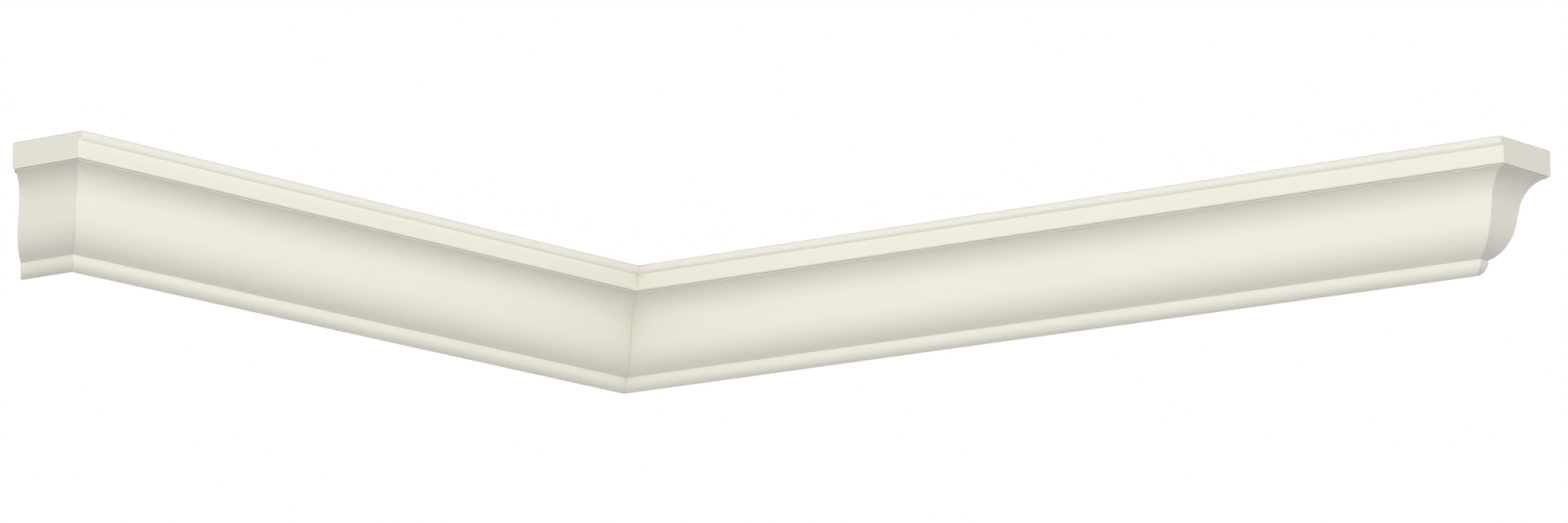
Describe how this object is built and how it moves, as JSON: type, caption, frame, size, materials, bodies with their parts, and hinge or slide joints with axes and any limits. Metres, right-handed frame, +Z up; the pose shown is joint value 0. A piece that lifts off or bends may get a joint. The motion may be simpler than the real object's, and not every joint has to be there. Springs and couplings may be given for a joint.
{
  "type": "crown moulding length",
  "caption": "Painted crown moulding that turns an inside corner and is returned at each end: nosed cap board over a cyma crown with a bead.",
  "frame": {"origin": "on the wall behind the right run, at the middle of the back face of its crown", "axes": "+X along the right run away from the inside corner, +Y into the wall behind it, +Z up"},
  "size_m": [1.1765, 0.918, 0.1102],
  "materials": {
    "cap_paint": "satin cream paint",
    "crown_paint": "satin cream paint"
  },
  "bodies": {
    "root": {"cap_left": "cap_paint", "cap_right": "cap_paint", "crown_left": "crown_paint", "crown_right": "crown_paint", "return_left": "crown_paint", "return_right": "crown_paint"}
  },
  "joints": []
}
